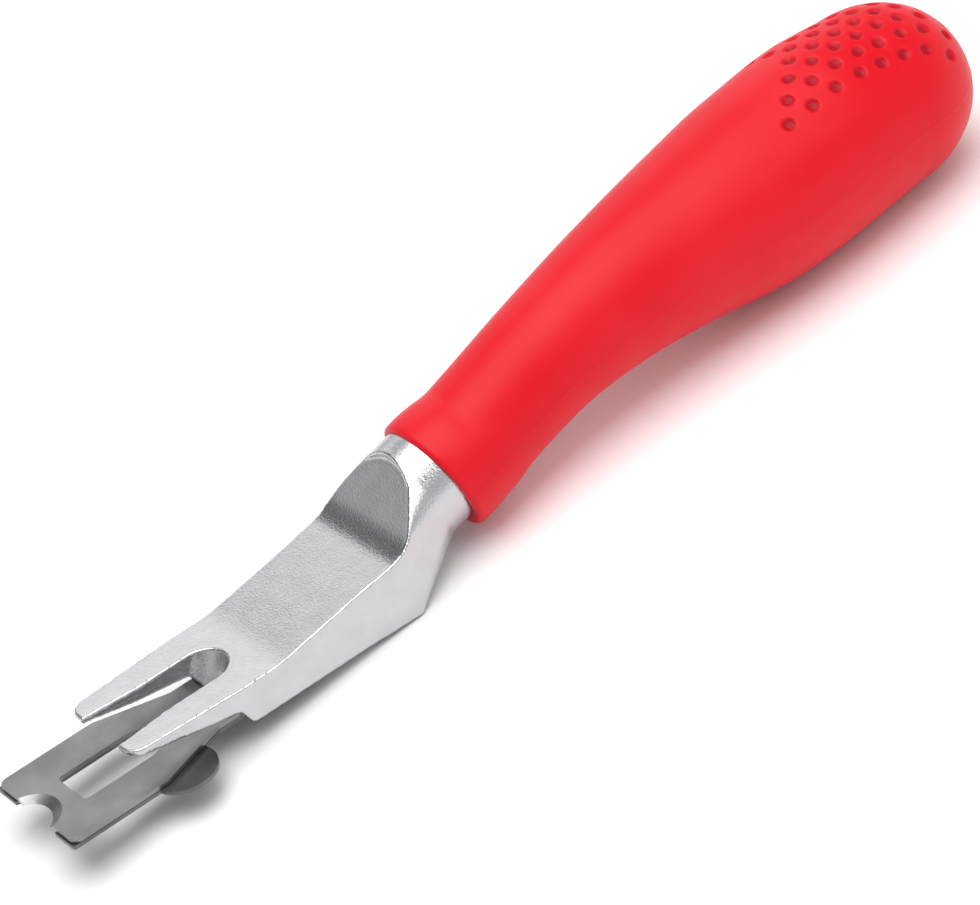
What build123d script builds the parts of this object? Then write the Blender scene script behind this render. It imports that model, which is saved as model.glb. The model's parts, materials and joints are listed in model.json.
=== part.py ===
from build123d import *
import os
from math import asin, atan2, cos, degrees, hypot, radians, sin, tan

# Hand trimming knife for the welded seams of sheet flooring.
#
# The model is drawn with the blade level: X runs from the cutting edge back to the butt of the grip,
# Y is across the blade, Z is up, and Z = 0 is the blade's upper face. At the end every piece is turned
# and set down together, as the knife lies on a table: on the heel of its keel and the belly of its grip.

# ---------------------------------------------------------------- driving dimensions, mm
# blade
blade_length = 65.0
blade_width = 24.0
blade_thickness = 0.7
blade_neck_width = 14.6
shoulder_front = 18.6          # the full width ends here
shoulder_rear = 31.6           # the neck starts here
detent_x = 39.0                # deepest point of the side notches
detent_depth = 1.15
detent_front = 3.2             # length of each notch ahead of its deepest point
detent_rear = 3.6
tail_slot_width = 6.2
tail_slot_depth = 10.9
foot_corner = 1.7
tail_corner = 1.2
edge_radius = 4.9              # half-moon cutting edge, at the lower face
edge_depth = 2.4
bevel_radius = 5.8             # the same hollow at the upper face
bevel_depth = 4.3
window_front = 7.1
window_waist = 20.5
window_rear = 27.9
window_width = 8.7
window_rear_width = 4.3

# distance plate
plate_thickness = 0.7
plate_gap = 0.1                # between the plate and what lies above it
plate_overhang = 0.3           # reach ahead of the blade
plate_notch_radius = 6.4
plate_notch_depth = 4.9
plate_lug_radius = 6.0
plate_window_margin = 0.3
tab_radius = 5.8
tab_x = 22.3
tab_y = -10.5

# rivet and bush
bush_clearance = 0.1
shank_radius = 1.6
shank_depth = 5.0              # reach into the casting
rivet_head_radius = 4.0
rivet_head_thickness = 0.28
rivet_head_clearance = 0.07
pivot_clearance = 0.05

# head casting
fork_tip = 15.0
fork_tip_width = blade_neck_width + 5.0
fork_tip_thickness = 1.0
fork_top = 6.45
keel_front_width = blade_neck_width + 7.5
keel_heel_width = blade_neck_width + 8.4
keel_front = detent_x - 2.6
keel_step_lean = 1.6           # the step leans forward as it rises to the fork
keel_step_height = 3.3
heel = blade_length + 6.0
keel_wide_from = heel - 11.0
ramp_start = keel_front + 7.6
ramp_angle = 10.6
slot_width = 9.2
slot_mouth_width = slot_width + 2.4
slot_end = keel_front + 3.6    # rounded end of the fork slot, at the top
slot_end_lean = 25.0           # the end wall leans forward going down
channel_clearance = 0.15       # each side of the blade's neck
channel_roof_gap = 0.1
channel_tail_gap = 0.4

# finger rest scooped out of the neck, in heights above the line of the ramp
rest_start = heel - ramp_start + 0.1   # along the ramp, where its floor turns up
rest_slope = 37.0              # from the ramp up to its floor
rest_cove = 10.0
rest_radius = keel_heel_width / 2 + 0.5
rest_reach = rest_start + 10.1         # along the ramp, to the back of its rim

# neck and tang
neck_shoulder_rise = 3.0       # above the ramp, at the heel
neck_shoulder_round = 2.2
neck_foot_round = 0.5
neck_x = heel + 13.0
neck_rise = 2.3                # of its axis above the ramp's height at the heel
neck_radius = 9.6
neck_angle = 16.6
neck_flare_end = 3.2           # the flare ends this far ahead of neck_x, along the neck
stub_length = 9.0
tang_length = 58.0
tang_width = 9.0
tang_height = 8.0
tang_end_scale = 0.75
pin_radius = 1.5
pin_length = 14.0
pin_spots = (14.0, 40.0)       # along the tang, from its shoulder

# detent springs
spring_strip = 0.4
spring_height = blade_thickness - 0.1
spring_play = 0.06
spring_pin_radius = 0.6
spring_pin_depth = 3.0
spring_anchor_x = detent_x + 9.5
spring_anchor_y = blade_neck_width / 2 + 1.7
pocket_outer_y = blade_neck_width / 2 + 2.8
pocket_front = detent_x - 1.6
pocket_rear = detent_x + 10.9

# grip
collar_reach = 1.4             # mouth of the skin, along the neck from neck_x
skin_thickness = 2.0
grip_length = 111.5            # between the first and last stations
grip_line = (                  # share of that length, height above the neck's axis, radius
    (0.0, -2.8, 11.2),
    (0.0987, 0.3, 11.3),       # bead round the mouth
    (0.1525, 1.8, 10.8),
    (0.203, 4.0, 10.5),
    (0.323, 8.4, 10.9),
    (0.448, 11.3, 12.3),
    (0.578, 13.0, 14.3),
    (0.716, 14.0, 16.6),
    (0.807, 15.1, 17.2),
    (0.906, 16.5, 17.25),
    (1.0, 16.9, 16.5),
)
grip_start = neck_x - 7.0
butt_length = 19.4             # domed end behind the last station

# ---------------------------------------------------------------- derived places
land = -blade_thickness                          # lower face of the blade and of the keel's lands
plate_top = land - plate_gap
sole = plate_top - plate_thickness
pivot_x = blade_length - tail_slot_depth + tail_slot_width / 2
roof = channel_roof_gap
ramp_rise = tan(radians(ramp_angle))
neck_z = fork_top + (heel - ramp_start) * ramp_rise + neck_rise
channel_half = blade_neck_width / 2 + channel_clearance
deck = Plane.XY
side = Plane.XZ
ramp_plane = Plane(
    origin=(ramp_start, 0, fork_top),
    x_dir=(cos(radians(ramp_angle)), 0, sin(radians(ramp_angle))),
    z_dir=(-sin(radians(ramp_angle)), 0, cos(radians(ramp_angle))),
)
neck_axis = Vector(cos(radians(neck_angle)), 0, sin(radians(neck_angle)))
neck_end = Plane(origin=(neck_x, 0, neck_z), x_dir=(0, 1, 0), z_dir=neck_axis)
flare_end = neck_end.offset(-neck_flare_end)
stub_end = neck_end.offset(stub_length)
heel_plane = Plane(origin=(heel, 0, 0), x_dir=(0, 1, 0), z_dir=(1, 0, 0))
ramp_side = Plane(origin=ramp_plane.origin, x_dir=ramp_plane.x_dir, z_dir=(0, -1, 0))
grip_knots = [(grip_start + share * grip_length, neck_z + height, r) for share, height, r in grip_line]


def ramp_height(x):
    """Height of the head's top at x, along the fork and the ramp."""
    return fork_top + max(0.0, x - ramp_start) * ramp_rise


def blade_edge(neck_half, front, rear):
    """One long edge of a blade-shaped plate, from its front corner to the end of its shoulder."""
    return [(front, blade_width / 2), (shoulder_front, blade_width / 2), (rear, neck_half)]


def window_sketch(margin):
    """Sketch of the window that both plates share, widened by a margin all round."""
    half_front = window_width / 2 + margin
    half_rear = window_rear_width / 2 + margin
    with BuildSketch(deck) as window:
        with BuildLine():
            Polyline(
                (window_front - margin, 0),
                (window_front - margin, half_front),
                (window_waist, half_front),
                (window_rear + margin, half_rear),
                (window_rear + margin, 0),
            )
            mirror(about=Plane.XZ)
        make_face()
        fillet(window.vertices().group_by(Axis.X)[0], 0.9)
        fillet(window.vertices().group_by(Axis.X)[-1], 0.9)
    return window.sketch


# ---------------------------------------------------------------- blade
with BuildPart() as blade:
    neck_half = blade_neck_width / 2
    with BuildSketch(deck.offset(land)) as blade_outline:
        with BuildLine():
            Polyline(
                (0, 0),
                *blade_edge(neck_half, 0, shoulder_rear),
                (detent_x - detent_front, neck_half),
                (detent_x, neck_half - detent_depth),
                (detent_x + detent_rear, neck_half),
                (blade_length, neck_half),
                (blade_length, 0),
            )
            mirror(about=Plane.XZ)
        make_face()
        corners = blade_outline.vertices().group_by(Axis.X)
        fillet(corners[0], foot_corner)
        fillet(blade_outline.vertices().group_by(Axis.X)[-1], tail_corner)
        notch_bottoms = blade_outline.vertices().filter_by(lambda v: abs(v.X - detent_x) < 0.01)
        fillet(notch_bottoms, 2.5)
        waists = blade_outline.vertices().filter_by(lambda v: abs(v.X - shoulder_front) < 0.01)
        fillet(waists, 3.0)
        with Locations((pivot_x, 0)):
            Circle(tail_slot_width / 2, mode=Mode.SUBTRACT)
        with Locations(((pivot_x + blade_length + 1) / 2, 0)):
            Rectangle(blade_length + 1 - pivot_x, tail_slot_width, mode=Mode.SUBTRACT)
        add(window_sketch(0), mode=Mode.SUBTRACT)
    extrude(amount=blade_thickness)
    with BuildSketch(deck.offset(land)):
        with Locations((edge_depth - edge_radius, 0)):
            Circle(edge_radius)
    with BuildSketch(deck):
        with Locations((bevel_depth - bevel_radius, 0)):
            Circle(bevel_radius)
    loft(mode=Mode.SUBTRACT)

# ---------------------------------------------------------------- distance plate
with BuildPart() as distance_plate:
    with BuildSketch(deck.offset(sole)) as plate_outline:
        with BuildLine():
            Polyline(
                (-plate_overhang, 0),
                *blade_edge(blade_neck_width / 2, -plate_overhang, shoulder_rear),
                (pivot_x, plate_lug_radius),
                (pivot_x, 0),
            )
            mirror(about=Plane.XZ)
        make_face()
        fillet(plate_outline.vertices().group_by(Axis.X)[0], 0.6)
        with Locations((pivot_x, 0)):
            Circle(plate_lug_radius)
        with Locations((tab_x, tab_y)):
            Circle(tab_radius)
        add(window_sketch(plate_window_margin), mode=Mode.SUBTRACT)
        with Locations((plate_notch_depth - plate_notch_radius - plate_overhang, 0)):
            Circle(plate_notch_radius, mode=Mode.SUBTRACT)
    extrude(amount=plate_thickness)
    with Locations((pivot_x, 0, sole)):
        Cylinder(
            rivet_head_radius + rivet_head_clearance,
            rivet_head_thickness + rivet_head_clearance,
            align=(Align.CENTER, Align.CENTER, Align.MIN),
            mode=Mode.SUBTRACT,
        )
        Cylinder(
            shank_radius + pivot_clearance,
            plate_thickness,
            align=(Align.CENTER, Align.CENTER, Align.MIN),
            mode=Mode.SUBTRACT,
        )

# ---------------------------------------------------------------- rivet and bush
with BuildPart() as pivot_rivet:
    with BuildSketch(deck.offset(sole)):
        with Locations((pivot_x, 0)):
            Circle(rivet_head_radius)
    extrude(amount=rivet_head_thickness)
    with BuildSketch(deck.offset(sole)):
        with Locations((pivot_x, 0)):
            Circle(shank_radius)
    extrude(amount=shank_depth + roof - sole)

with BuildPart() as guide_bush:
    with BuildSketch(deck.offset(land)):
        with Locations((pivot_x, 0)):
            Circle(tail_slot_width / 2 - bush_clearance)
            Circle(shank_radius, mode=Mode.SUBTRACT)
    extrude(amount=roof - land)


# ---------------------------------------------------------------- detent springs and their pins
def spring_path(hand):
    """Corner points of a detent spring, from its free end to its loop; hand is +1 or -1."""
    crest = blade_neck_width / 2 - detent_depth + spring_strip / 2 + spring_play
    rise = blade_neck_width / 2 + 1.4
    return [
        (detent_x - 1.0, hand * (crest + 1.7)),
        (detent_x, hand * crest),
        (detent_x + detent_rear, hand * rise),
        (spring_anchor_x, hand * (spring_anchor_y + spring_pin_radius + spring_strip / 2)),
    ]


def detent_spring(hand):
    """Flat spring on edge, with a crest in the blade's notch and a loop round its pin."""
    with BuildPart() as spring:
        with BuildSketch(deck.offset(land + (blade_thickness - spring_height) / 2)):
            with BuildLine() as strip:
                FilletPolyline(*spring_path(hand), radius=0.8)
            trace(strip.line, spring_strip)
            with Locations((spring_anchor_x, hand * spring_anchor_y)):
                Circle(spring_pin_radius + spring_strip)
                Circle(spring_pin_radius, mode=Mode.SUBTRACT)
        extrude(amount=spring_height)
    return spring


def spring_pin(hand):
    """Headless pin that holds the loop of a detent spring, pressed up into the casting."""
    with BuildPart() as pin:
        with BuildSketch(deck.offset(land)):
            with Locations((spring_anchor_x, hand * spring_anchor_y)):
                Circle(spring_pin_radius)
        extrude(amount=roof + spring_pin_depth - land)
    return pin


detent_spring_left = detent_spring(-1)
detent_spring_right = detent_spring(1)
spring_pin_left = spring_pin(-1)
spring_pin_right = spring_pin(1)

# ---------------------------------------------------------------- head casting
with BuildPart() as head_casting:
    # side view of fork, step, keel, ramp and the floor of the finger rest
    rest_rise = (rest_reach - rest_start) * tan(radians(rest_slope))
    rest_corner = ramp_side.from_local_coords(Vector(rest_start, 0, 0))
    rest_back = ramp_side.from_local_coords(Vector(rest_reach, rest_rise, 0))
    with BuildSketch(side) as head_side:
        with BuildLine():
            step_top = land + keel_step_height
            Polyline(
                (fork_tip, fork_top),
                (ramp_start, fork_top),
                (rest_corner.X, rest_corner.Z),
                (rest_back.X, rest_back.Z),
                (rest_back.X, land),
                (keel_front, land),
                (keel_front - keel_step_lean, step_top),
                (fork_tip, fork_top - fork_tip_thickness),
                close=True,
            )
        make_face()
        fillet(head_side.vertices().sort_by_distance((keel_front, land, 0))[0], 1.4)
        fillet(head_side.vertices().sort_by_distance((keel_front - keel_step_lean, step_top, 0))[0], 1.0)
        fillet(head_side.vertices().sort_by_distance((ramp_start, fork_top, 0))[0], 20.0)
        fillet(head_side.vertices().sort_by_distance((rest_corner.X, rest_corner.Z, 0))[0], rest_cove)
    extrude(amount=keel_heel_width, both=True)

    # plan view of fork and keel
    with BuildSketch(deck.offset(land)) as head_plan:
        with BuildLine():
            Polyline(
                (fork_tip, 0),
                (fork_tip, fork_tip_width / 2),
                (keel_front, keel_front_width / 2),
                (keel_wide_from, keel_front_width / 2),
                (heel, keel_heel_width / 2),
                (heel, 0),
            )
            mirror(about=Plane.XZ)
        make_face()
        fillet(head_plan.vertices().group_by(Axis.X)[0], 3.0)
    extrude(amount=4 * fork_top, mode=Mode.INTERSECT)

    # fork slot, its end wall leaning forward on the way down
    slot_half = slot_width / 2
    lean = tan(radians(slot_end_lean))
    with BuildSketch(deck.offset(fork_top + 1)) as slot_plan:
        arc_centre = slot_end + lean - slot_half
        with BuildLine():
            Polyline(
                (fork_tip - 2, 0),
                (fork_tip - 2, slot_mouth_width / 2),
                (fork_tip + 4, slot_half + 0.7),
                (fork_tip + 11, slot_half),
                (arc_centre, slot_half),
                (arc_centre, 0),
            )
            mirror(about=Plane.XZ)
        make_face()
        with Locations((arc_centre, 0)):
            Circle(slot_half)
    extrude(amount=(fork_top + 3) / cos(radians(slot_end_lean)), dir=(-lean, 0, -1), mode=Mode.SUBTRACT)

    # neck, flaring from the round stub to the heel of the keel, with the finger rest scooped out
    with BuildPart(mode=Mode.PRIVATE) as neck:
        shoulder = ramp_height(heel) + neck_shoulder_rise
        with BuildSketch(heel_plane) as heel_section:
            with Locations((0, (shoulder + land) / 2)):
                Rectangle(keel_heel_width, shoulder - land)
            fillet(heel_section.vertices().group_by(Axis.Y)[-1], neck_shoulder_round)
            fillet(heel_section.vertices().group_by(Axis.Y)[0], neck_foot_round)
        with BuildSketch(flare_end):
            RectangleRounded(2 * neck_radius, 2 * neck_radius, neck_radius - 0.01)
        loft()
        with BuildSketch(flare_end):
            Circle(neck_radius)
        extrude(amount=neck_flare_end)
        with BuildPart(mode=Mode.PRIVATE) as rest:
            with BuildSketch(ramp_side) as rest_side:
                with BuildLine():
                    Polyline(
                        (0, 0),
                        (rest_start, 0),
                        (rest_reach + 10, rest_rise + 10 * tan(radians(rest_slope))),
                        (rest_reach + 10, 40),
                        (0, 40),
                        close=True,
                    )
                make_face()
                fillet(rest_side.vertices().sort_by_distance((rest_start, 0, 0))[0], rest_cove)
            extrude(amount=keel_heel_width, both=True)
            with BuildSketch(ramp_plane):
                with Locations((rest_reach - rest_radius, 0)):
                    Circle(rest_radius)
            extrude(amount=50, mode=Mode.INTERSECT)
        add(rest.part, mode=Mode.SUBTRACT)
    add(neck.part)

    # round stub and tapering tang inside the grip
    with BuildSketch(neck_end):
        Circle(neck_radius)
    extrude(amount=stub_length)
    with BuildSketch(stub_end):
        Rectangle(tang_width, tang_height)
    with BuildSketch(stub_end.offset(tang_length)):
        Rectangle(tang_width * tang_end_scale, tang_height * tang_end_scale)
    loft()

    # blade channel, spring pockets, rivet hole and pin holes
    with BuildSketch(deck.offset(land - 1)):
        with Locations(((keel_front - 4 + blade_length + channel_tail_gap) / 2, 0)):
            Rectangle(blade_length + channel_tail_gap - keel_front + 4, 2 * channel_half)
        for hand in (-1, 1):
            with Locations(((pocket_front + pocket_rear) / 2, hand * (channel_half + pocket_outer_y) / 2)):
                Rectangle(pocket_rear - pocket_front, pocket_outer_y - channel_half + 0.5)
    extrude(amount=roof - land + 1, mode=Mode.SUBTRACT)
    add(pivot_rivet.part, mode=Mode.SUBTRACT)
    add(spring_pin_left.part, mode=Mode.SUBTRACT)
    add(spring_pin_right.part, mode=Mode.SUBTRACT)


# ---------------------------------------------------------------- grip
def tang_pin(spot):
    """Cross pin through core and tang, a given way along the tang from its shoulder."""
    centre = stub_end.origin + neck_axis * spot
    with BuildPart() as pin:
        with BuildSketch(Plane(origin=centre, x_dir=(1, 0, 0), z_dir=(0, -1, 0))):
            Circle(pin_radius)
        extrude(amount=pin_length / 2, both=True)
    return pin


tang_pin_front = tang_pin(pin_spots[0])
tang_pin_rear = tang_pin(pin_spots[1])


def grip_stations(steps=4):
    """Planes and radii along the grip, on a smooth curve through the listed stations."""
    knots = [Vector(*station) for station in (grip_knots[0], *grip_knots, grip_knots[-1])]
    stations = []
    for before, start, end, after in zip(knots, knots[1:], knots[2:], knots[3:]):
        leave, arrive = (end - before) / 2, (after - start) / 2
        for step in range(steps + (end == knots[-1])):
            t = step / steps
            point = (
                start * (2 * t**3 - 3 * t**2 + 1)
                + leave * (t**3 - 2 * t**2 + t)
                + end * (3 * t**2 - 2 * t**3)
                + arrive * (t**3 - t**2)
            )
            way = (
                (end - start) * (6 * t - 6 * t**2)
                + leave * (3 * t**2 - 4 * t + 1)
                + arrive * (3 * t**2 - 2 * t)
            )
            plane = Plane(origin=(point.X, 0, point.Y), x_dir=(0, 1, 0), z_dir=(way.X, 0, way.Y))
            stations.append((plane, point.Z))
    return stations


def grip_body(inset):
    """Solid of the grip, inset all round: circles along the centre line and a domed butt."""
    stations = grip_stations()
    last, last_radius = stations[-1]
    with BuildPart() as body:
        for plane, radius in stations:
            with BuildSketch(plane):
                Circle(radius - inset)
        loft()
        with BuildSketch(Plane(origin=last.origin, x_dir=last.z_dir, z_dir=(0, 1, 0))):
            Ellipse(butt_length - inset, last_radius - inset)
            with Locations((-butt_length / 2, 0)):
                Rectangle(butt_length, 3 * last_radius, mode=Mode.SUBTRACT)
            with Locations((0, -last_radius)):
                Rectangle(3 * butt_length, 2 * last_radius, mode=Mode.SUBTRACT)
        revolve(axis=Axis(last.origin, last.z_dir), revolution_arc=360)
    return body


with BuildPart() as grip_core:
    add(grip_body(skin_thickness).part)
    split(bisect_by=stub_end, keep=Keep.TOP)
    add(head_casting.part, mode=Mode.SUBTRACT)
    add(tang_pin_front.part, mode=Mode.SUBTRACT)
    add(tang_pin_rear.part, mode=Mode.SUBTRACT)

with BuildPart() as grip_skin:
    add(grip_body(0).part)
    split(bisect_by=neck_end.offset(collar_reach), keep=Keep.TOP)
    with BuildPart(mode=Mode.PRIVATE) as core_space:
        add(grip_body(skin_thickness).part)
        split(bisect_by=stub_end, keep=Keep.TOP)
    add(core_space.part, mode=Mode.SUBTRACT)
    add(head_casting.part, mode=Mode.SUBTRACT)

with BuildPart(mode=Mode.PRIVATE) as bored_head:
    add(head_casting.part)
    add(tang_pin_front.part, mode=Mode.SUBTRACT)
    add(tang_pin_rear.part, mode=Mode.SUBTRACT)
head_casting = bored_head


# ---------------------------------------------------------------- setting down
def rest_angle():
    """Angle between the blade and the table, from the heel to the lowest tangent of the grip."""
    angles = []
    for x, z, radius in grip_knots:
        run, rise = x - heel, z - land
        if run > 4 * radius:
            angles.append(degrees(atan2(rise, run) - asin(radius / hypot(run, rise))))
    return min(angles)


pieces = {
    "blade": blade,
    "distance_plate": distance_plate,
    "pivot_rivet": pivot_rivet,
    "guide_bush": guide_bush,
    "detent_spring_left": detent_spring_left,
    "detent_spring_right": detent_spring_right,
    "spring_pin_left": spring_pin_left,
    "spring_pin_right": spring_pin_right,
    "head_casting": head_casting,
    "tang_pin_front": tang_pin_front,
    "tang_pin_rear": tang_pin_rear,
    "grip_core": grip_core,
    "grip_skin": grip_skin,
}

tilt = Location((0, 0, 0), (0, rest_angle(), 0))
for piece in pieces.values():
    piece.part.move(tilt)
span = Compound(children=[Compound(piece.part.solids()) for piece in pieces.values()]).bounding_box()
set_down = Location((-span.center().X, 0, -span.min.Z))

os.makedirs("parts", exist_ok=True)
for name, piece in pieces.items():
    piece.part.move(set_down)
    piece.part.label = name
    export_step(piece.part, f"parts/{name}.step")
print("rest angle", round(rest_angle(), 4), "shift", [round(v, 4) for v in set_down.position])
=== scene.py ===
"""Looks of the weld trimming knife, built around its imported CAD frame."""

import json
from math import cos, pi, radians, sin

import bmesh
import bpy
import numpy as np
from mathutils import Matrix, Vector


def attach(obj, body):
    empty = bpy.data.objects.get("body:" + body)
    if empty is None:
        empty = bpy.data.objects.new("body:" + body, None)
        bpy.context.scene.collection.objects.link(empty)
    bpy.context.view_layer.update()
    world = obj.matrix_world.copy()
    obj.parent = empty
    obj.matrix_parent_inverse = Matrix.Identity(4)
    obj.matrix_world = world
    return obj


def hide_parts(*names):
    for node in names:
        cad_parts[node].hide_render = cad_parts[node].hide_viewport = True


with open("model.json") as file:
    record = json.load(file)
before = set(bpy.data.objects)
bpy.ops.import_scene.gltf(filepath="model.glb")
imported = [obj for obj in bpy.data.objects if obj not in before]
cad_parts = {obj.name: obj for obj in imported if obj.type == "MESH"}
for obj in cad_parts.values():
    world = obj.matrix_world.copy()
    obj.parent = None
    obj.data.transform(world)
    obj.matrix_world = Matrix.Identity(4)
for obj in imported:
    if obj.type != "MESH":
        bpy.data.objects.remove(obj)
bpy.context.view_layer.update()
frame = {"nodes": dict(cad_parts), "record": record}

bl_info = {
    "name": "Weld Trimming Knife",
    "version": (1, 0, 0),
    "blender": (4, 5, 0),
    "location": "3D View > Sidebar > Knife",
    "description": "Finishes the knife's grip, head, blade and small parts, and sets the stage",
    "category": "Object",
}

MM = 0.001

# ---------------------------------------------------------------- the drawing frame
# The knife is drawn with its blade level and then lies tilted on the table. The swing joint's axis is
# the blade's normal, and its place is the rivet, at half the thickness of the distance plate.
SWING = next(j for j in frame["record"]["behaviour"]["joints"] if j["name"] == "plate_swing")
DECK_UP = Vector(SWING["axis"]).normalized()
DECK_BACK = Vector((DECK_UP.z, 0.0, -DECK_UP.x))
PIVOT = Vector(SWING["pos_m"])
PIVOT_X = 57.2
PIVOT_Z = -1.15


def placed(points):
    """Points in the drawing frame, in mm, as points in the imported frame, in metres."""
    points = np.asarray(points, float)
    back = np.array(DECK_BACK)
    up = np.array(DECK_UP)
    along = (points[..., 0] - PIVOT_X)[..., None] * back
    above = (points[..., 2] - PIVOT_Z)[..., None] * up
    across = points[..., 1][..., None] * np.array([0.0, 1.0, 0.0])
    return np.array(PIVOT) + MM * (along + above + across)


def linear(hex_colour):
    """An sRGB hex colour as linear RGBA."""
    parts = [int(hex_colour[i : i + 2], 16) / 255 for i in (1, 3, 5)]
    return (*[c / 12.92 if c <= 0.04045 else ((c + 0.055) / 1.055) ** 2.4 for c in parts], 1.0)


def colour_property(name, description, default):
    """A colour that a user can change, with its sRGB default."""
    return bpy.props.FloatVectorProperty(
        name=name, description=description, default=linear(default), subtype="COLOR", size=4, min=0, max=1
    )


# ---------------------------------------------------------------- settings
class KnifeSizes(bpy.types.PropertyGroup):
    """Sizes of the visible detail, in millimetres."""

    dimple_radius: bpy.props.FloatProperty(
        name="Dimple radius", description="Radius of one grip dimple, mm", default=1.3, min=0.2, max=3
    )
    dimple_depth: bpy.props.FloatProperty(
        name="Dimple depth", description="Depth of one grip dimple, mm", default=0.55, min=0, max=1
    )
    lip_round: bpy.props.FloatProperty(
        name="Lip round", description="Rounding of the grip's mouth, mm", default=1.0, min=0.1, max=1.5
    )
    edge_passes: bpy.props.IntProperty(
        name="Edge passes",
        description="How often the casting's edges are smoothed",
        default=16,
        min=1,
        max=60,
    )
    broken_edge: bpy.props.FloatProperty(
        name="Broken edge",
        description="Chamfer on the edges of blade and plate, mm",
        default=0.15,
        min=0.02,
        max=0.2,
    )
    parting_line: bpy.props.FloatProperty(
        name="Parting line",
        description="Height of the grip's mould parting line, mm",
        default=0.07,
        min=0,
        max=0.3,
    )


class KnifeColours(bpy.types.PropertyGroup):
    """Base colours."""

    grip: colour_property("Grip red", "Soft plastic of the grip", "#D90A1F")
    nickel: colour_property("Nickel", "Plating of the head", "#C8C8CA")
    blade: colour_property("Blade steel", "Ground blade", "#8B8B8B")
    plate: colour_property("Plate steel", "Distance plate", "#686868")
    floor: colour_property("Floor", "Floor and backdrop", "#F7F7F7")


# ---------------------------------------------------------------- node helper
def node(tree, kind, links=(), outputs=(), **settings):
    """Adds a node, sets its attributes or input values, and links (input, socket) and (output, socket)."""
    made = tree.nodes.new(kind)
    for key, value in settings.items():
        if hasattr(made, key):
            setattr(made, key, value)
        else:
            made.inputs[key.replace("_", " ")].default_value = value
    for name, socket in links:
        tree.links.new(socket, made.inputs[name])
    for name, socket in outputs:
        tree.links.new(made.outputs[name], socket)
    return made


def new_material(name):
    """A material with only a Principled shader and its output; returns the material, tree and shader."""
    material = bpy.data.materials.new(name)
    material.use_nodes = True
    tree = material.node_tree
    tree.nodes.clear()
    out = node(tree, "ShaderNodeOutputMaterial")
    shader = node(tree, "ShaderNodeBsdfPrincipled", outputs=[("BSDF", out.inputs["Surface"])])
    return material, tree, shader


def ramp(tree, factor, stops):
    """A colour ramp from (position, colour) stops."""
    made = node(tree, "ShaderNodeValToRGB", links=[("Fac", factor)])
    elements = made.color_ramp.elements
    while len(elements) < len(stops):
        elements.new(0.5)
    for element, (position, colour) in zip(elements, stops):
        element.position = position
        element.color = colour
    return made.outputs["Color"]


def mixed(colour, other, share):
    """Colour moved towards another by a share, as a tuple."""
    return tuple(a + (b - a) * share for a, b in zip(tuple(colour)[:3], other[:3])) + (1.0,)


# ---------------------------------------------------------------- materials
def soft_grip_plastic(colours):
    """Soft moulded TPE, fine spark-eroded mould texture: gives a semi-gloss skin with broad highlights."""
    material, tree, shader = new_material("moulded_soft_plastic")
    place = node(tree, "ShaderNodeTexCoord").outputs["Object"]
    grain_size = 0.35 * MM
    cloud_size = 22.0 * MM
    grain = node(tree, "ShaderNodeTexNoise", links=[("Vector", place)], Scale=1 / grain_size, Detail=3.0)
    cloud = node(tree, "ShaderNodeTexNoise", links=[("Vector", place)], Scale=1 / cloud_size, Detail=2.0)
    red = tuple(colours.grip)
    tint = ramp(
        tree,
        cloud.outputs["Fac"],
        [(0.35, mixed(red, (0.55, 0.0, 0.0), 0.10)), (0.65, mixed(red, (1.0, 0.12, 0.14), 0.06))],
    )
    # Painted shade: the red is mixed towards a dark red by how deep in a dimple each vertex is. This stands
    # in for the shade inside the dimples.
    painted_dimple_shade = node(tree, "ShaderNodeAttribute", attribute_name="painted_dimple_shade")
    dimmed = node(tree, "ShaderNodeMapRange", links=[("Value", painted_dimple_shade.outputs["Fac"])], To_Max=0.7)
    mix = node(tree, "ShaderNodeMix", data_type="RGBA")
    tree.links.new(dimmed.outputs["Result"], mix.inputs[0])
    tree.links.new(tint, mix.inputs[6])
    # the dark red of the painted dimple shade
    mix.inputs[7].default_value = mixed(red, (0.12, 0.0, 0.01), 0.75)
    tree.links.new(mix.outputs[2], shader.inputs["Base Color"])
    node(
        tree,
        "ShaderNodeMapRange",
        links=[("Value", grain.outputs["Fac"])],
        outputs=[("Result", shader.inputs["Roughness"])],
        To_Min=0.36,
        To_Max=0.46,
    )
    node(
        tree,
        "ShaderNodeBump",
        links=[("Height", grain.outputs["Fac"])],
        outputs=[("Normal", shader.inputs["Normal"])],
        Strength=0.10,
        Distance=0.05 * MM,
    )
    shader.inputs["IOR"].default_value = 1.5
    shader.inputs["Specular IOR Level"].default_value = 0.2
    shader.inputs["Subsurface Weight"].default_value = 0.08
    shader.inputs["Subsurface Radius"].default_value = (2.0 * MM, 0.4 * MM, 0.3 * MM)
    shader.inputs["Subsurface Scale"].default_value = 1.0
    return material


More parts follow.
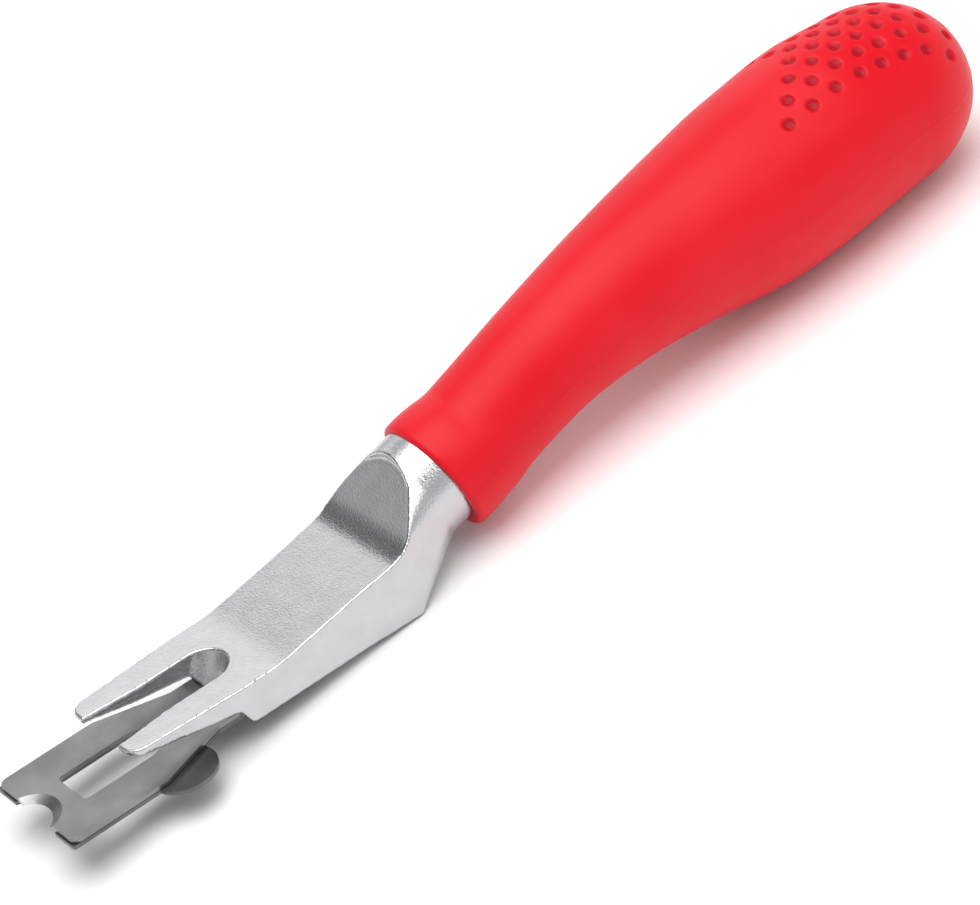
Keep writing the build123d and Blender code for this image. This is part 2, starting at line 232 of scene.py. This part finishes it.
def satin_nickel(colours):
    """Zinc casting, tumbled and nickel plated: bright satin metal with a fine peened grain."""
    material, tree, shader = new_material("satin_nickel_plate")
    place = node(tree, "ShaderNodeTexCoord").outputs["Object"]
    grain_size = 0.38 * MM
    ripple_size = 3.5 * MM
    grain = node(tree, "ShaderNodeTexNoise", links=[("Vector", place)], Scale=1 / grain_size, Detail=3.0)
    ripple = node(tree, "ShaderNodeTexNoise", links=[("Vector", place)], Scale=1 / ripple_size, Detail=2.0)
    nickel = tuple(colours.nickel)
    tint = ramp(
        tree, ripple.outputs["Fac"], [(0.3, mixed(nickel, (0.25, 0.25, 0.25), 0.12)), (0.7, nickel)]
    )
    tree.links.new(tint, shader.inputs["Base Color"])
    shader.inputs["Metallic"].default_value = 1.0
    node(
        tree,
        "ShaderNodeMapRange",
        links=[("Value", grain.outputs["Fac"])],
        outputs=[("Result", shader.inputs["Roughness"])],
        To_Min=0.16,
        To_Max=0.32,
    )
    fine = node(
        tree, "ShaderNodeBump", links=[("Height", grain.outputs["Fac"])], Strength=0.9, Distance=0.06 * MM
    )
    node(
        tree,
        "ShaderNodeBump",
        links=[("Height", ripple.outputs["Fac"]), ("Normal", fine.outputs["Normal"])],
        outputs=[("Normal", shader.inputs["Normal"])],
        Strength=0.25,
        Distance=0.12 * MM,
    )
    return material


def ground_steel(name, base, streak_mm, lean, low, high):
    """Hardened strip steel, surface ground: grey metal with fine parallel grinding lines."""
    material, tree, shader = new_material(name)
    place = node(tree, "ShaderNodeTexCoord").outputs["Object"]
    turned = node(tree, "ShaderNodeMapping", links=[("Vector", place)])
    turned.inputs["Rotation"].default_value = (0, 0, lean)
    turned.inputs["Scale"].default_value = (1.0, 0.04, 1.0)
    streak = turned.outputs["Vector"]
    stain_size = 7 * MM
    streak_size = streak_mm * MM
    lines = node(tree, "ShaderNodeTexNoise", links=[("Vector", streak)], Scale=1 / streak_size, Detail=3.0)
    stain = node(tree, "ShaderNodeTexNoise", links=[("Vector", place)], Scale=1 / stain_size, Detail=3.0)
    metal = tuple(base)
    tint = ramp(
        tree,
        stain.outputs["Fac"],
        [(0.3, mixed(metal, (0.05, 0.05, 0.05), 0.22)), (0.7, mixed(metal, (1.0, 1.0, 1.0), 0.06))],
    )
    tree.links.new(tint, shader.inputs["Base Color"])
    shader.inputs["Metallic"].default_value = 1.0
    node(
        tree,
        "ShaderNodeMapRange",
        links=[("Value", lines.outputs["Fac"])],
        outputs=[("Result", shader.inputs["Roughness"])],
        To_Min=low,
        To_Max=high,
    )
    node(
        tree,
        "ShaderNodeBump",
        links=[("Height", lines.outputs["Fac"])],
        outputs=[("Normal", shader.inputs["Normal"])],
        Strength=0.3,
        Distance=0.02 * MM,
    )
    return material


def turned_steel():
    """Bright drawn steel of pins, rivet and bush: smooth, with faint turning rings."""
    return ground_steel("bright_drawn_steel", linear("#B5B5B4"), 0.25, 0.0, 0.18, 0.3)


def core_polypropylene():
    """Glass-filled polypropylene core, moulded: dull black with a slight mottle."""
    material, tree, shader = new_material("moulded_polypropylene")
    place = node(tree, "ShaderNodeTexCoord").outputs["Object"]
    mottle = node(tree, "ShaderNodeTexNoise", links=[("Vector", place)], Scale=1 / (1.2 * MM), Detail=3.0)
    tint = ramp(tree, mottle.outputs["Fac"], [(0.3, linear("#141416")), (0.7, linear("#232326"))])
    tree.links.new(tint, shader.inputs["Base Color"])
    shader.inputs["Roughness"].default_value = 0.55
    return material


def pale_floor(colours):
    """Matt painted board: an even pale surface."""
    material, tree, shader = new_material("matt_white_board")
    place = node(tree, "ShaderNodeTexCoord").outputs["Object"]
    cloud = node(tree, "ShaderNodeTexNoise", links=[("Vector", place)], Scale=2.0, Detail=1.0)
    pale = tuple(colours.floor)
    tint = ramp(tree, cloud.outputs["Fac"], [(0.3, pale), (0.7, mixed(pale, (1, 1, 1), 0.2))])
    tree.links.new(tint, shader.inputs["Base Color"])
    shader.inputs["Roughness"].default_value = 0.9
    shader.inputs["Specular IOR Level"].default_value = 0.1
    return material


# ---------------------------------------------------------------- grip surface
# Centre line and radius of the grip in the drawing frame, as the CAD solid has them: x, z, radius, mm.
GRIP_LINE = np.array(
    [
        (77.0, 11.0, 11.2),
        (88.0, 14.1, 11.3),
        (94.0, 15.6, 10.8),
        (99.6, 17.8, 10.5),
        (113.0, 22.2, 10.9),
        (126.95, 25.1, 12.3),
        (141.45, 26.8, 14.3),
        (156.8, 27.8, 16.6),
        (167.0, 28.9, 17.2),
        (178.0, 30.3, 17.25),
        (188.5, 30.7, 16.5),
    ]
)
BUTT_LENGTH = 19.2
BUTT_POWER = 2.12
NECK_END = np.array([84.0, 13.8])
NECK_ANGLE = radians(16.6)
NECK_RADIUS = 9.6
MOUTH = 1.4
# Grid density: columns round the grip, coarse rows up to a station near the dimples, fine rows after it,
# and rows over the butt.
COLUMNS = 360
COARSE_ROWS = 68
FINE_ROWS = 120
FINE_FROM = 7.2
DOME_ROWS = 80


def grip_curve(t):
    """Centre x and z and radius at t, in stations from the first: a cubic Hermite curve through them."""
    line = np.vstack([GRIP_LINE[:1], GRIP_LINE, GRIP_LINE[-1:]])
    i = np.clip(t.astype(int), 0, len(GRIP_LINE) - 2)
    s = (t - i)[:, None]
    before, start, end, after = line[i], line[i + 1], line[i + 2], line[i + 3]
    leave, arrive = (end - before) / 2, (after - start) / 2
    point = (
        start * (2 * s**3 - 3 * s**2 + 1)
        + leave * (s**3 - 2 * s**2 + s)
        + end * (3 * s**2 - 2 * s**3)
        + arrive * (s**3 - s**2)
    )
    way = (end - start) * (6 * s - 6 * s**2) + leave * (3 * s**2 - 4 * s + 1) + arrive * (3 * s**2 - 2 * s)
    return point, way


def ring_points(centre, way, radius, turns):
    """Circles of the given radii round centre points: one row per centre, one column per turn."""
    way = way / np.linalg.norm(way, axis=1, keepdims=True)
    up = np.stack([-way[:, 1], np.zeros(len(way)), way[:, 0]], 1)
    side = np.array([0.0, -1.0, 0.0])
    middle = np.stack([centre[:, 0], np.zeros(len(centre)), centre[:, 1]], 1)
    return middle[:, None] + radius[:, None, None] * (
        np.cos(turns)[None, :, None] * up[:, None] + np.sin(turns)[None, :, None] * side
    )


def surface_normals(points):
    """Unit normals of a grid that closes round its second direction, pointing away from its middle."""
    wrapped = np.concatenate([points[:, -1:], points, points[:, :1]], axis=1)
    across = (wrapped[:, 2:] - wrapped[:, :-2]) / 2
    along = np.gradient(points, axis=0)
    normals = np.cross(along, across)
    normals /= np.linalg.norm(normals, axis=2, keepdims=True) + 1e-12
    outward = points - points.mean(axis=1, keepdims=True)
    return normals * np.sign((normals * outward).sum(axis=2, keepdims=True) + 1e-12)


def dimple_centres():
    """Plan places of the dimples, mm: a sheared lattice whose front edge is a V with its point on one flank.
    Towards the butt the rows draw together and spread, as the surface turns down there."""
    column, row = np.meshgrid(np.arange(-4, 4), np.arange(-3, 9), indexing="ij")
    inside = row >= np.where(column >= 0, -column, 1)
    x = 173.8 + 2.4 * column + 5.5 * row
    y = -0.75 - 3.15 * column
    past = np.maximum(x - 181.0, 0)
    x = x - 0.17 * past
    y = y * (1 + 0.0077 * past)
    return np.stack([x[inside], y[inside]], 1)


def grip_grid(sizes):
    """Grid of the grip's skin. Rows run along the centre line with a circle at each, then over the butt
    as a superellipse dome; columns run round. Each dimple sinks along the normal by
    depth * min(1, 1.15 * (1 - r^3)), with r the distance from its centre over the dimple's radius."""
    turns = np.linspace(0, 2 * pi, COLUMNS, endpoint=False)
    last = len(GRIP_LINE) - 1
    coarse = np.linspace(0, FINE_FROM, COARSE_ROWS)
    fine = np.linspace(FINE_FROM + 0.02, last, FINE_ROWS)
    t = np.concatenate([coarse, fine])
    point, way = grip_curve(t)
    body = ring_points(point[:, :2], way[:, :2], point[:, 2], turns)
    # dome: radius falls as the superellipse of its distance past the last station
    quarter = np.linspace(0, pi / 2, DOME_ROWS + 2)[1:-1]
    reach = BUTT_LENGTH * np.sin(quarter) ** (2 / BUTT_POWER)
    fall = point[-1, 2] * np.cos(quarter) ** (2 / BUTT_POWER)
    end_way = way[-1, :2] / np.linalg.norm(way[-1, :2])
    dome_centres = point[-1, :2] + reach[:, None] * end_way
    dome = ring_points(dome_centres, np.repeat(end_way[None], len(quarter), 0), fall, turns)
    grid = np.concatenate([body, dome])
    # sink the dimples: each centre is the nearest upper grid point, and depth falls with distance from it
    normals = surface_normals(grid)
    upper = normals[..., 2] > 0.12
    skin = grid[upper]
    hollow = np.zeros(grid.shape[:2])
    for x, y in dimple_centres():
        away = np.hypot(skin[:, 0] - x, skin[:, 1] - y)
        if away.min() > 0.6:
            continue
        centre = skin[away.argmin()]
        reach = np.linalg.norm(grid - centre, axis=2) / sizes.dimple_radius
        hollow = np.maximum(hollow, np.clip(1.15 * (1 - reach**3), 0, 1))
    rise = np.zeros(grid.shape[:2])
    rise[:, [len(turns) // 4, 3 * len(turns) // 4]] = sizes.parting_line
    return grid + normals * (rise - hollow * sizes.dimple_depth)[..., None], hollow, turns


def cut_at_mouth(grid, hollow, turns, sizes):
    """Starts the skin at the neck. Rows ahead of the mouth plane are dropped. In their place come a sleeve
    on the neck and a lip: a quarter circle that turns from the front face into the outside, per spoke."""
    axis = np.array([cos(NECK_ANGLE), 0, sin(NECK_ANGLE)])
    start = np.array([NECK_END[0], 0, NECK_END[1]]) + MOUTH * axis
    depth = (grid - start) @ axis
    keep = int(np.argmax(depth.min(axis=1) > sizes.lip_round * 1.3))
    first = grid[keep] - start
    out = first - (first @ axis)[:, None] * axis
    radius = np.linalg.norm(out, axis=1, keepdims=True)
    spokes = out / radius
    r = sizes.lip_round
    rows = [start + axis * sleeve + NECK_RADIUS * spokes for sleeve in (7.0, 3.0, 0.4)]
    rows.append(start + (NECK_RADIUS + 0.12) * spokes)
    bend = np.linspace(pi / 2, 0, 9)
    rows += [start + axis * (r - r * sin(a)) + (radius - r + r * cos(a) - 0.03) * spokes for a in bend]
    lead = np.zeros((len(rows), grid.shape[1]))
    return np.concatenate([np.array(rows), grid[keep:]]), np.concatenate([lead, hollow[keep:]])


def grid_mesh(name, points, painted_dimple_shade):
    """A mesh object from a grid that closes round its second direction, with a fan at its last row, and a
    point attribute that says how deep in a dimple each vertex is; the grip material darkens the red by it,
    as painted shade in the dimples."""
    rows, columns = points.shape[:2]
    index = np.arange(rows * columns).reshape(rows, columns)
    nxt = np.roll(index, -1, axis=1)
    quads = np.stack([index[:-1], index[1:], nxt[1:], nxt[:-1]], -1).reshape(-1, 4)
    vertices = np.vstack([points.reshape(-1, 3), points[-1].mean(axis=0)])
    tip = np.full(columns, len(vertices) - 1)
    faces = quads.tolist() + np.stack([index[-1], tip, nxt[-1]], -1).tolist()
    mesh = bpy.data.meshes.new(name)
    mesh.from_pydata(vertices.tolist(), [], faces)
    # dimple depth, stored for the grip material's painted shade in the dimples
    mesh.attributes.new("painted_dimple_shade", "FLOAT", "POINT")
    mesh.attributes["painted_dimple_shade"].data.foreach_set("value", np.append(painted_dimple_shade.ravel(), 0.0))
    mesh.polygons.foreach_set("use_smooth", np.ones(len(mesh.polygons), bool))
    mesh.update()
    piece = bpy.data.objects.new(name, mesh)
    bpy.context.scene.collection.objects.link(piece)
    return piece


def merged(piece):
    """Joins a CAD copy's loose triangles where their corners touch."""
    work = bmesh.new()
    work.from_mesh(piece.data)
    bmesh.ops.remove_doubles(work, verts=work.verts, dist=0.001 * MM)
    work.to_mesh(piece.data)
    work.free()


def applied(piece):
    """Replaces a piece's mesh with the mesh that its modifiers give."""
    graph = bpy.context.evaluated_depsgraph_get()
    finished = bpy.data.meshes.new_from_object(piece.evaluated_get(graph), depsgraph=graph)
    piece.modifiers.clear()
    piece.data = finished


def softened(mesh, passes):
    """Vertex places after repeated smoothing: a step that moves each vertex 0.6 of the way to the mean of
    its neighbours, then one of -0.61, which puts the lost volume back but leaves edges round."""
    points = np.empty(len(mesh.vertices) * 3)
    mesh.vertices.foreach_get("co", points)
    points = points.reshape(-1, 3)
    ends = np.empty(len(mesh.edges) * 2, int)
    mesh.edges.foreach_get("vertices", ends)
    tail, head = ends.reshape(-1, 2).T
    count = np.bincount(ends, minlength=len(points))[:, None]
    for _ in range(passes):
        for share in (0.6, -0.61):
            total = np.zeros_like(points)
            for k in range(3):
                total[:, k] = np.bincount(tail, points[head, k], len(points))
                total[:, k] += np.bincount(head, points[tail, k], len(points))
            points = points + share * (total / count - points)
    return points


def cad_copy(node_name, name):
    """A copy of a CAD part that stands for it, with its loose triangles joined."""
    piece = bpy.data.objects.new(name, frame["nodes"][node_name].data.copy())
    piece.data.name = name
    bpy.context.scene.collection.objects.link(piece)
    merged(piece)
    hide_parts(node_name)
    return piece


def broken_edges(node_name, name, width):
    """A copy of a CAD part with a narrow rounded chamfer, in mm, on each edge sharper than 35 degrees."""
    piece = cad_copy(node_name, name)
    bevel = piece.modifiers.new("broken edge", "BEVEL")
    bevel.width = width * MM
    bevel.segments = 2
    bevel.limit_method = "ANGLE"
    bevel.angle_limit = radians(35)
    bevel.harden_normals = True
    applied(piece)
    return piece


def recalculated(piece):
    """Turns the faces outwards."""
    work = bmesh.new()
    work.from_mesh(piece.data)
    bmesh.ops.recalc_face_normals(work, faces=work.faces)
    work.to_mesh(piece.data)
    work.free()
    return piece


def dress(piece, *materials):
    """Gives a piece its materials."""
    piece.data.materials.clear()
    for material in materials:
        piece.data.materials.append(material)


# ---------------------------------------------------------------- operators
# Thinning keeps this count over the remeshed head's quads, which leaves about twice as many triangles.
HEAD_FACES = 95000


class KNIFE_OT_grip(bpy.types.Operator):
    """Make the dimpled soft grip and its core"""

    bl_idname = "knife.grip"
    bl_label = "Grip"

    def execute(self, context):
        sizes = context.scene.knife_sizes
        grid, hollow, turns = grip_grid(sizes)
        grid, hollow = cut_at_mouth(grid, hollow, turns, sizes)
        piece = recalculated(grid_mesh("grip_cover", placed(grid), hollow))
        dress(piece, soft_grip_plastic(context.scene.knife_colours))
        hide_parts("grip_skin")
        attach(piece, "handle")
        dress(frame["nodes"]["grip_core"], core_polypropylene())
        return {"FINISHED"}


class KNIFE_OT_head(bpy.types.Operator):
    """Round the edges of the head casting and plate it"""

    bl_idname = "knife.head"
    bl_label = "Head casting"

    def execute(self, context):
        sizes = context.scene.knife_sizes
        piece = cad_copy("head_casting", "head_plated")
        remesh = piece.modifiers.new("even skin", "REMESH")
        remesh.mode = "SHARP"
        remesh.octree_depth = 9
        remesh.scale = 0.95
        remesh.sharpness = 1.0
        remesh.use_remove_disconnected = True
        remesh.use_smooth_shade = True
        applied(piece)
        points = softened(piece.data, sizes.edge_passes)
        piece.data.vertices.foreach_set("co", points.ravel())
        piece.data.update()
        thin = piece.modifiers.new("thinned", "DECIMATE")
        thin.ratio = min(1.0, HEAD_FACES / len(piece.data.polygons))
        applied(piece)
        piece.data.polygons.foreach_set("use_smooth", np.ones(len(piece.data.polygons), bool))
        dress(piece, satin_nickel(context.scene.knife_colours))
        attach(piece, "handle")
        return {"FINISHED"}


class KNIFE_OT_blades(bpy.types.Operator):
    """Break the edges of the blade and the distance plate and finish them"""

    bl_idname = "knife.blades"
    bl_label = "Blade and plate"

    def execute(self, context):
        colours = context.scene.knife_colours
        blade = broken_edges("blade", "blade_ground", context.scene.knife_sizes.broken_edge)
        dress(blade, ground_steel("ground_blade_steel", colours.blade, 0.12, 0.2, 0.26, 0.4))
        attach(blade, "blade")
        plate = broken_edges("distance_plate", "plate_blanked", context.scene.knife_sizes.broken_edge)
        dress(plate, ground_steel("dull_plate_steel", colours.plate, 0.2, 1.3, 0.34, 0.5))
        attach(plate, "distance_plate")
        return {"FINISHED"}


class KNIFE_OT_small_parts(bpy.types.Operator):
    """Finish the pins, rivet, bush and springs"""

    bl_idname = "knife.small_parts"
    bl_label = "Small parts"

    def execute(self, context):
        steel = turned_steel()
        spring = ground_steel("tempered_spring_steel", linear("#6C7076"), 0.2, 0.0, 0.25, 0.4)
        for name, item in frame["nodes"].items():
            if "spring_" in name and "pin" not in name:
                dress(item, spring)
            elif "pin" in name or name in ("pivot_rivet", "guide_bush"):
                dress(item, steel)
        return {"FINISHED"}


class KNIFE_OT_stage(bpy.types.Operator):
    """Set the floor, lights, backdrop and camera"""

    bl_idname = "knife.stage"
    bl_label = "Stage"

    def execute(self, context):
        scene = context.scene
        bpy.ops.mesh.primitive_plane_add(size=6.0, location=(0, 0, -0.0002))
        floor = context.active_object
        floor.name = "floor"
        dress(floor, pale_floor(scene.knife_colours))

        world = bpy.data.worlds.new("studio")
        scene.world = world
        world.use_nodes = True
        tree = world.node_tree
        back = tree.nodes["Background"]
        back.inputs["Strength"].default_value = 0.8
        way = node(tree, "ShaderNodeTexCoord").outputs["Generated"]
        height = node(tree, "ShaderNodeSeparateXYZ", links=[("Vector", way)]).outputs["Z"]
        greys = [(0.0, 0.9), (0.3, 0.85), (0.46, 0.6), (0.62, 0.05), (0.72, 0.08), (0.88, 1.0)]
        sky = ramp(tree, height, [(place, (g, g, g * 1.01, 1)) for place, g in greys])
        tree.links.new(sky, back.inputs["Color"])
        scene.view_settings.view_transform = "Standard"

        self.lamp(scene, "back", (0.346, 0.742, 0.574), (0.0, 0, 0.02), 0.6, 1.15)
        self.lamp(scene, "top", (0.0, -0.1, 0.95), (0.0, 0, 0.0), 0.9, 8.0)
        self.lamp(scene, "side", (0.30, -0.60, 0.62), (0.0, 0, 0.02), 0.4, 1.3)
        self.camera(scene)
        return {"FINISHED"}

    def lamp(self, scene, name, place, target, size, watts):
        """A square soft light at a place, in metres, that faces a target."""
        data = bpy.data.lights.new(name, "AREA")
        data.size = size
        data.energy = watts
        lamp = bpy.data.objects.new(name, data)
        lamp.location = place
        lamp.rotation_euler = (Vector(target) - Vector(place)).to_track_quat("-Z", "Y").to_euler()
        scene.collection.objects.link(lamp)

    def camera(self, scene):
        """A long lens, rolled so that the knife runs up across the view from lower left to upper right."""
        place_mm = (-168.57, -495.32, 376.58)
        right = Vector((0.77208917, -0.58960585, -0.23715662))
        down = Vector((-0.49643296, -0.32656333, -0.80430759))
        ahead = Vector((0.39677781, 0.73872954, -0.54483579))
        turn = Matrix((DECK_BACK, (0, 1, 0), DECK_UP)).transposed()
        axes = Matrix((turn @ right, -(turn @ down), -(turn @ ahead))).transposed()
        data = bpy.data.cameras.new("camera")
        data.lens = 146.94
        data.sensor_width = 36.0
        data.clip_end = 20.0
        camera = bpy.data.objects.new("camera", data)
        camera.matrix_world = Matrix.Translation(Vector(placed(place_mm))) @ axes.to_4x4()
        scene.collection.objects.link(camera)
        scene.camera = camera


class KNIFE_PT_panel(bpy.types.Panel):
    """Panel that lists the knife's pieces"""

    bl_label = "Weld Trimming Knife"
    bl_idname = "KNIFE_PT_panel"
    bl_space_type = "VIEW_3D"
    bl_region_type = "UI"
    bl_category = "Knife"

    def draw(self, context):
        layout = self.layout
        for group in (context.scene.knife_sizes, context.scene.knife_colours):
            for key in type(group).__annotations__:
                layout.prop(group, key)
        for operator in OPERATORS:
            layout.operator(operator.bl_idname)


OPERATORS = (KNIFE_OT_grip, KNIFE_OT_head, KNIFE_OT_blades, KNIFE_OT_small_parts, KNIFE_OT_stage)
CLASSES = (KnifeSizes, KnifeColours, *OPERATORS, KNIFE_PT_panel)


def register():
    for cls in CLASSES:
        bpy.utils.register_class(cls)
    bpy.types.Scene.knife_sizes = bpy.props.PointerProperty(type=KnifeSizes)
    bpy.types.Scene.knife_colours = bpy.props.PointerProperty(type=KnifeColours)


def unregister():
    del bpy.types.Scene.knife_colours
    del bpy.types.Scene.knife_sizes
    for cls in reversed(CLASSES):
        bpy.utils.unregister_class(cls)


def main():
    """Registers the add-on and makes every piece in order."""
    register()
    bpy.ops.knife.grip()
    bpy.ops.knife.head()
    bpy.ops.knife.blades()
    bpy.ops.knife.small_parts()
    bpy.ops.knife.stage()


if __name__ == "__main__":
    main()
